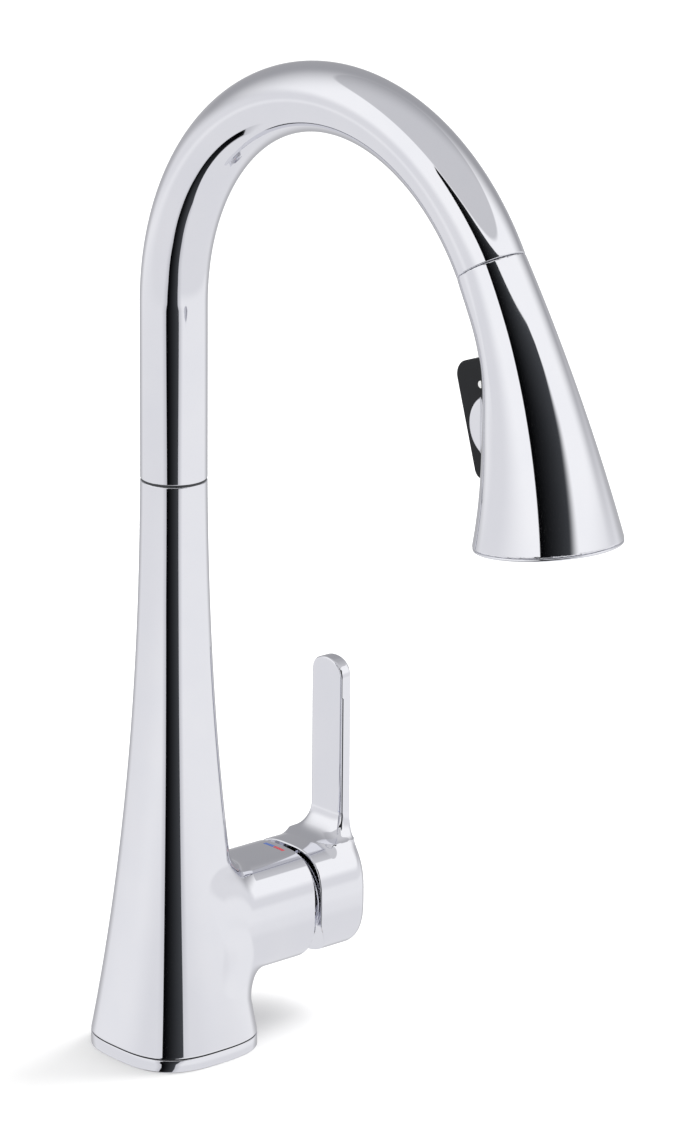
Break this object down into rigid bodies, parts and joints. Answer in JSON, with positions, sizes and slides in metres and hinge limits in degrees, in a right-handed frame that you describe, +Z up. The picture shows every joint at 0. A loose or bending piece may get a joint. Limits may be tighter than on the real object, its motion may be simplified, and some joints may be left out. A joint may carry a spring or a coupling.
{
  "type": "pull down kitchen faucet",
  "caption": "Single-hole kitchen faucet with a high-arc swivel spout, a side lever and a flared spray head that pulls down on a hose.",
  "frame": {"origin": "centre of the base's underside, on the deck", "axes": "+Z up along the riser, the spout reaches towards -Y, the valve arm and its lever point along +X"},
  "size_m": [0.1182, 0.2763, 0.5345],
  "materials": {
    "chrome": "polished chrome plate",
    "brass": "turned brass",
    "steel": "stainless steel",
    "black_plastic": "moulded charcoal plastic",
    "rubber": "moulded rubber",
    "white_plastic": "moulded white plastic",
    "cold_blue": "blue enamel inlay",
    "hot_red": "red enamel inlay",
    "magnet": "nickel-plated magnet",
    "hose": "braided nylon",
    "face_plastic": "moulded grey plastic",
    "white_mark": "printed white"
  },
  "bodies": {
    "base": {"base_ring": "chrome", "base_gasket": "rubber", "body": "chrome", "cold_mark": "cold_blue", "hot_mark": "hot_red", "shank": "brass", "deck_seal": "rubber", "deck_washer": "steel", "mounting_nut": "brass", "clamp_screws": "steel", "supply_tubes": "steel", "outlet_tube": "steel", "glide_washer": "black_plastic", "spout_bushings": "white_plastic", "cartridge": "white_plastic", "cartridge_seals": "rubber", "cartridge_nut": "brass", "bonnet": "chrome"},
    "spout": {"spout_tube": "chrome", "spout_nipple": "brass", "retaining_clip": "steel", "dock_insert": "black_plastic", "dock_magnet": "magnet", "spray_hose": "hose", "hose_coupling": "brass"},
    "hose_end": {"hose_ferrule": "steel", "hose_nut": "brass"},
    "head": {"head_collar": "steel", "head_shell": "chrome", "waterway": "black_plastic", "check_valve": "white_plastic", "face_ring": "chrome", "spray_face": "face_plastic", "spray_nozzles": "rubber", "aerator": "black_plastic", "trigger_pin": "steel", "trigger_spring": "steel"},
    "trigger": {"trigger": "black_plastic", "trigger_marks": "white_mark"},
    "diverter": {"diverter_plunger": "brass"},
    "temperature": {"stem_turret": "black_plastic", "stem_pin": "steel"},
    "handle": {"valve_stem": "steel", "handle": "chrome", "handle_screw": "steel", "handle_plug": "steel"}
  },
  "joints": [
    {"name": "spout_swivel", "type": "hinge", "parent": "base", "child": "spout", "pos_m": [0, 0, 0.2415], "axis": [0, 0, 1], "range_deg": [-180, 180]},
    {"name": "head_pull", "type": "slide", "parent": "spout", "child": "hose_end", "axis": [0, -0.515, -0.8572], "range_m": [0, 0.22]},
    {"name": "head_turn", "type": "hinge", "parent": "hose_end", "child": "head", "pos_m": [0, -0.18386, 0.36499], "axis": [0, -0.515, -0.8572], "continuous": true},
    {"name": "trigger_rock", "type": "hinge", "parent": "head", "child": "trigger", "pos_m": [0, -0.19072, 0.30594], "axis": [1, 0, 0], "range_deg": [0, 12]},
    {"name": "diverter_slide", "type": "slide", "parent": "head", "child": "diverter", "axis": [0, -0.9551, 0.2963], "range_m": [0, 0.00214]},
    {"name": "temperature_turn", "type": "hinge", "parent": "base", "child": "temperature", "pos_m": [0.058, 0, 0.0495], "axis": [1, 0, 0], "range_deg": [-50, 50]},
    {"name": "flow_tilt", "type": "hinge", "parent": "temperature", "child": "handle", "pos_m": [0.058, 0, 0.0495], "axis": [0, 1, 0], "range_deg": [0, 20]}
  ],
  "couplings": [
    {"joint": "trigger_rock", "follows": "diverter_slide", "rad_per_m": 98}
  ]
}
